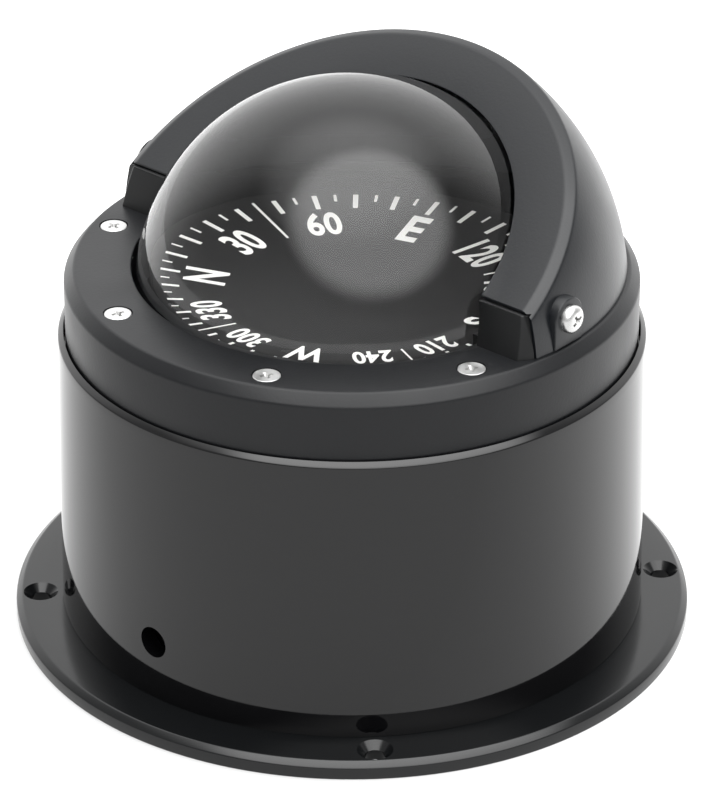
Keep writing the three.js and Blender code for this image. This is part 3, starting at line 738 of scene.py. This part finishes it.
def glyph(text, height, squeeze, weight):
    """A character string as a flat bmesh, its middle at the origin and upright along +Y."""
    curve = bpy.data.curves.new("glyph", "FONT")
    curve.body = text
    curve.size = 1.0
    curve.offset = weight
    curve.align_x = "CENTER"
    curve.space_character = 1.06
    curve.resolution_u = 6
    obj = bpy.data.objects.new("glyph", curve)
    bpy.context.scene.collection.objects.link(obj)
    bpy.context.view_layer.update()
    mesh = bpy.data.meshes.new_from_object(obj.evaluated_get(bpy.context.evaluated_depsgraph_get()))
    bpy.data.objects.remove(obj, do_unlink=True)
    bm = bmesh.new()
    bm.from_mesh(mesh)
    bpy.data.meshes.remove(mesh)
    low = [min(v.co[i] for v in bm.verts) for i in range(2)]
    high = [max(v.co[i] for v in bm.verts) for i in range(2)]
    moved(bm, x=-(low[0] + high[0]) / 2, y=-(low[1] + high[1]) / 2)
    k = height / (high[1] - low[1])
    bmesh.ops.scale(bm, vec=(k * squeeze, k, 1), verts=bm.verts)
    return bm


NORTH = 200.1  # where the card's north lies at rest, in degrees from +X towards +Y


def at_heading(bm, heading):
    """Turns what lies at the top of a card, at +Y, to its heading on the card."""
    return rotated(bm, "Z", NORTH - heading - 90)


def bar(inner, outer, width):
    bm = bmesh.new()
    bmesh.ops.create_grid(bm, x_segments=1, y_segments=2, size=0.5)
    bmesh.ops.scale(bm, vec=(width, outer - inner, 1), verts=bm.verts)
    return moved(bm, y=(inner + outer) / 2)


class COMPASS_OT_card(bpy.types.Operator):
    """Flat black card with white marks every five degrees and numbers every thirty"""

    bl_idname = "compass.card"
    bl_label = "Card"

    def execute(self, context):
        s, c = sizes(), colours()
        top, under, r = top_of("card"), bottom_of("card"), s.card_r
        outline = [(0, under), (r, under), (r, top - 0.04 * MM), (0, top - 0.04 * MM)]
        bm = spun(softened(outline, [0, 0.3 * MM, 0.2 * MM, 0], 3), 144, closed=False)
        finish = moulded_plastic("flat black anodised card", c.card, 0.6, 0.5, 0.01)
        disc = finish_mesh(bm, "card_disc", finish)
        place(disc, "card", ["card"], "card_black")
        out = s.tick_out
        marks = bmesh.new()
        for heading in range(0, 360, 5):
            if heading % 10 == 0:
                tick = bar(out - 2.75 * MM, out, 0.6 * MM)
            elif heading % 90 == 45:
                tick = bar(out - 8.0 * MM, out + 0.3 * MM, 0.34 * MM)
            else:
                tick = bar(out - 1.35 * MM, out, 0.34 * MM)
            join_into(marks, at_heading(tick, heading))
        for heading in range(0, 360, 30):
            words = {0: "N", 90: "E", 180: "S", 270: "W"}.get(heading, str(heading))
            point = heading % 90 == 0
            label = glyph(words, (5.9 if point else 5.2) * MM, 0.72 if point else 0.62, 0.03)
            moved(label, y=out - (6.3 if point else 6.1) * MM)
            join_into(marks, at_heading(label, heading))
        moved(marks, z=top - 0.02 * MM)
        bmesh.ops.triangulate(marks, faces=marks.faces)
        for f in marks.faces:
            if f.normal.z < 0:
                f.normal_flip()
        ink = finish_mesh(marks, "card_print", screen_ink("white screen ink", c.marks), turn_out=False)
        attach(ink, "card")
        return {"FINISHED"}


class COMPASS_OT_movement(bpy.types.Operator):
    """Finishes of the gimbal, pivot, float, bowl, seals, night-light and corrector"""

    bl_idname = "compass.movement"
    bl_label = "Movement and bowl"

    def execute(self, context):
        c = colours()
        dress(["bowl", "diaphragm_clamp", "corrector_block"],
              moulded_plastic("black bowl plastic", c.bowl, 0.45, 0.6, 0.03))
        dress(["gimbal_ring", "pivot_yoke", "card_float"],
              moulded_plastic("dark gimbal plastic", c.bowl, 0.5, 0.5, 0.02))
        dress(["head_gasket", "dome_gasket", "diaphragm"], soft_rubber("black nitrile rubber", c.rubber))
        brass = metal("turned brass", c.brass, 0.3, 0.15)
        dress(["fill_plug", "roll_pin_front", "roll_pin_rear", "pitch_pin_left", "pitch_pin_right",
               "counterweight", "corrector_shaft_fore", "corrector_shaft_cross"], brass)
        dress(["magnet_left", "magnet_right", "corrector_magnet_fore", "corrector_magnet_cross"],
              metal("bare magnet steel", linear("7c7d80"), 0.38, 0.2))
        dress(["lamp", "lamp_socket"], moulded_plastic("red lamp plastic", c.lamp, 0.25, 0.8, 0.01))
        dress(["jewel_cup"], moulded_plastic("polished ruby", c.jewel, 0.1, 1.0, 0.004, 1.76))
        dress(["lubber_pin"], screen_ink("white enamel pin", c.marks))
        return {"FINISHED"}


FOOT_Y = -11.9 * MM  # front of the posts at their foot
LEAN = 2.5 * MM  # how far that face leans back by its top
FOOT_TOP = 87.0 * MM  # its top, where it meets the hood's own front face
LIP_Y = FOOT_Y + LEAN + 0.4 * MM  # where a post ends outside and the hood begins
GAP = 0.3 * MM  # between a post and the hood
POST_OUT = 52.2 * MM  # outer side of a post, inside the hood
POST_BACK = 7.8 * MM  # back of a post, inside the hood
POCKET_IN = 38 * MM  # where the hood's pocket starts, inside its inner face
HOOD_RISE = 0.64  # slope of the hood's front face


class COMPASS_OT_hood(bpy.types.Operator):
    """Half hood over the back of the dome, with a raised pad under each of its screws"""

    bl_idname = "compass.hood"
    bl_label = "Hood"

    def execute(self, context):
        s, c = sizes(), colours()
        # a shell between two spheres, turned about the line that is square to its flat front face
        tilt = math.atan(HOOD_RISE)
        face = (FOOT_TOP - s.dome_z - HOOD_RISE * (FOOT_Y + LEAN)) * math.cos(tilt)
        inner, outer = s.hood_in, s.hood_r

        def above(radius, height):
            return math.degrees(math.asin(height / radius))

        def across(radius):
            return math.sqrt(radius**2 - face**2)

        below = -42  # degrees: the shell ends under the bezel ring's top, where it is cut off
        outline = [(across(inner), face), (across(outer - s.hood_bevel), face)]
        outline += arc(outer, 0, above(outer, face - 1.03 * MM), below, 60)
        outline += arc(inner, 0, below, above(inner, face), 60)[:-1]
        rounding = [0.35 * MM, 0.5 * MM, 0.6 * MM] + [0] * (len(outline) - 3)
        bm = rotated(spun(softened(outline, rounding, 4), 288), "X", math.degrees(tilt))
        moved(bm, z=s.dome_z)
        for at, out in (((0, 0, s.bezel_top), (0, 0, -1)), ((0, LIP_Y + GAP, 0), (0, -1, 0))):
            whole = bm.verts[:] + bm.edges[:] + bm.faces[:]
            bmesh.ops.bisect_plane(bm, geom=whole, plane_co=at, plane_no=out, clear_outer=True)
            bmesh.ops.holes_fill(bm, edges=[e for e in bm.edges if e.is_boundary])
        bmesh.ops.recalc_face_normals(bm, faces=bm.faces)
        finish = moulded_plastic("matte black ABS hood", c.hood, 0.33, 0.45, 0.02, 1.45)
        obj = finish_mesh(bm, "moulded_hood", finish, 25)
        pockets = []
        low, front, back, side_face = s.bezel_top - MM, LIP_Y - MM, POST_BACK + GAP, POST_OUT + GAP
        for side in (1, -1):
            box = [(POCKET_IN, front), (side_face, front), (side_face, back), (POCKET_IN, back)]
            tool = drawn_out(bmesh.new(), [(side * x, y, low) for x, y in box], (0, 0, FOOT_TOP - low))
            pockets.append(finish_mesh(tool, "tool", []))
        cut(obj, pockets)
        bm = bmesh.new()
        bm.from_mesh(obj.data)
        for side in (-1, 1):
            join_into(bm, self.pad(side, s))
        bm.to_mesh(obj.data)
        bm.free()
        shade(obj, 25)
        place(obj, "housing", ["hood"], "hood_matte_black")
        return {"FINISHED"}

    def pad(self, side, s):
        """A flat pad with a round top, drawn on the YZ plane and drawn out along X."""
        base, z, r = s.bezel_top, s.bezel_top + HOOD_SCREW_UP, 4.2 * MM
        start, steps = 52.5 * MM, 24
        turns = [math.pi * k / steps for k in range(1, steps)]
        outline = [(-r, base), (-r, z)]
        outline += [(-r * math.cos(a), z + r * math.sin(a)) for a in turns]
        outline += [(r, z), (r, base)]
        pad = drawn_out(bmesh.new(), [(start, y, h) for y, h in outline], (3.0 * MM, 0, 0))
        rim = [e for e in pad.edges if all(v.co.x > 55 * MM for v in e.verts)]
        bmesh.ops.bevel(pad, geom=rim, offset=0.4 * MM, offset_type="OFFSET", segments=3, profile=0.5,
                        affect="EDGES", material=-1)
        if side < 0:
            bmesh.ops.scale(pad, vec=(-1, 1, 1), verts=pad.verts)
            bmesh.ops.recalc_face_normals(pad, faces=pad.faces)
        return pad


class COMPASS_OT_posts(bpy.types.Operator):
    """The two posts on the bezel ring that the hood fits over"""

    bl_idname = "compass.posts"
    bl_label = "Hood posts"

    def execute(self, context):
        s, c = sizes(), colours()
        finish = moulded_plastic("satin black acetal", c.post, 0.42, 0.5, 0.012, 1.42)
        base, top = s.bezel_top, FOOT_TOP - GAP
        rows, edge, last = 12, 0.25 * MM, 0.07 * MM  # the last two levels round the top edge over
        levels = [base + (top - edge - base) * k / rows for k in range(rows + 1)] + [top - last, top]
        shrink = [0] * (rows + 1) + [last, edge]
        for side, name in ((1, "right"), (-1, "left")):
            first = self.outline(levels[0], 0, s)
            bm = bmesh.new()
            face = bm.faces.new([bm.verts.new((side * x, y, levels[0])) for x, y in first])
            ring = list(face.verts)
            for z, inset in zip(levels[1:], shrink[1:]):
                made = bmesh.ops.extrude_face_region(bm, geom=[face])["geom"]
                face = next(g for g in made if isinstance(g, bmesh.types.BMFace))
                fresh = {tuple(v.co): v for v in made if isinstance(v, bmesh.types.BMVert)}
                ring = [fresh[tuple(v.co)] for v in ring]
                for v, (x, y) in zip(ring, self.outline(z, inset, s)):
                    v.co = (side * x, y, z)
            obj = finish_mesh(bm, f"post_{name}", finish)
            place(obj, "housing", [f"hood_post_{name}"], "post_black")
        return {"FINISHED"}

    def outline(self, z, inset, s):
        """The post's outline at a height: its inner face follows the dome and its outer face the hood."""
        up = z - s.dome_z

        def out(radius, y):
            return math.sqrt(radius**2 - up**2 - y**2)

        front = FOOT_Y + LEAN * (z - s.bezel_top) / (FOOT_TOP - s.bezel_top) + inset
        back, lip, skin = POST_BACK - inset, LIP_Y, s.hood_r - GAP - inset
        inner = [back + (front - back) * k / 8 for k in range(9)]
        points = [(out(s.hood_in, y) + inset, y) for y in inner]
        toe = out(s.hood_r - s.hood_bevel, front) - inset
        reach = min(lip - 0.05 * MM, front + 2.6 * MM)
        heel = min(toe + 1.85 * MM * (reach - front) / (2.6 * MM), out(skin, reach))
        points += [(toe, front), (heel, reach), (out(skin, lip), lip), (POST_OUT - inset, lip),
                   (POST_OUT - inset, back)]
        rounding = [0] * 8 + [0.25 * MM, 0.25 * MM, 0.25 * MM, 0.05 * MM, 0, 0]
        return softened(points, rounding, 3)


class COMPASS_OT_hood_screws(bpy.types.Operator):
    """Stainless pan-head screw on each side of the hood"""

    bl_idname = "compass.hood_screws"
    bl_label = "Hood screws"

    def execute(self, context):
        s, c = sizes(), colours()
        steel = metal("tumbled stainless pan head", c.steel, 0.26, 0.12)
        for side, name in ((1, "right"), (-1, "left")):
            tip, top = -8.6 * MM, 2.1 * MM
            outline = [(0, tip), (SCREW_R, tip), (SCREW_R, 0), (PAN_R, 0), (PAN_R, 0.8 * MM),
                       (2.7 * MM, 1.25 * MM), (2.35 * MM, 1.65 * MM), (1.75 * MM, 1.93 * MM),
                       (1.0 * MM, 2.05 * MM), (0, top)]
            bm = spun(outline, 48, closed=False)
            obj = finish_mesh(bm, f"pan_head_screw_{name}", steel, sharp=40)
            cut(obj, recess_tools(top, 1.4 * MM, 1.5 * MM, SLOT_W))
            obj.data.transform(Matrix.Rotation(math.radians(30), 4, "Z"))
            obj.data.transform(Matrix.Rotation(math.radians(90 * side), 4, "Y"))
            obj.data.transform(Matrix.Translation((side * 55.5 * MM, 0, s.bezel_top + HOOD_SCREW_UP)))
            shade(obj, 35)
            place(obj, "housing", [f"hood_screw_{name}"], "stainless")
        return {"FINISHED"}


class COMPASS_OT_stage(bpy.types.Operator):
    """Pale floor, soft light all round and the camera"""

    bl_idname = "compass.stage"
    bl_label = "Stage"

    def execute(self, context):
        scene, c = context.scene, colours()
        bm = bmesh.new()
        bmesh.ops.create_grid(bm, x_segments=4, y_segments=4, size=1.6)
        board = studio_floor("white studio board with painted glow", c.floor)
        floor = finish_mesh(bm, "studio_floor", board, turn_out=False)
        world = bpy.data.worlds.new("soft white tent")
        soft_tent(world)
        scene.world = world
        camera = bpy.data.cameras.new("camera")
        camera.lens = 191.78
        camera.sensor_width = 36.0
        camera.clip_start, camera.clip_end = 0.05, 20.0
        eye = bpy.data.objects.new("camera", camera)
        turn, dip = math.radians(41.0), math.radians(28.37)
        away, up = 766.2 * MM, 460.2 * MM
        eye.location = (math.sin(turn) * away, -math.cos(turn) * away, up)
        eye.rotation_euler = (math.pi / 2 - dip, 0, turn)
        scene.collection.objects.link(eye)
        scene.camera = eye
        scene.view_settings.view_transform = "Standard"
        return {"FINISHED"}


PIECES = (
    COMPASS_OT_flange,
    COMPASS_OT_housing,
    COMPASS_OT_bezel,
    COMPASS_OT_bezel_screws,
    COMPASS_OT_dome,
    COMPASS_OT_card,
    COMPASS_OT_movement,
    COMPASS_OT_hood,
    COMPASS_OT_posts,
    COMPASS_OT_hood_screws,
    COMPASS_OT_stage,
)


class COMPASS_PT_panel(bpy.types.Panel):
    """Lists the pieces of the compass"""

    bl_idname = "COMPASS_PT_panel"
    bl_label = "Binnacle compass"
    bl_space_type = "VIEW_3D"
    bl_region_type = "UI"
    bl_category = "Compass"

    def draw(self, context):
        column = self.layout.column()
        for piece in PIECES:
            column.operator(piece.bl_idname)
        for group in (context.scene.compass_sizes, context.scene.compass_colours):
            for name in group.__annotations__:
                column.prop(group, name)


def register():
    for kind in (CompassSizes, CompassColours, *PIECES, COMPASS_PT_panel):
        bpy.utils.register_class(kind)
    bpy.types.Scene.compass_sizes = PointerProperty(type=CompassSizes)
    bpy.types.Scene.compass_colours = PointerProperty(type=CompassColours)


def unregister():
    del bpy.types.Scene.compass_sizes
    del bpy.types.Scene.compass_colours
    for kind in reversed((CompassSizes, CompassColours, *PIECES, COMPASS_PT_panel)):
        bpy.utils.unregister_class(kind)


def main():
    register()
    for piece in PIECES:
        group, name = piece.bl_idname.split(".")
        getattr(getattr(bpy.ops, group), name)()
    bpy.context.view_layer.update()


if __name__ == "__main__":
    main()
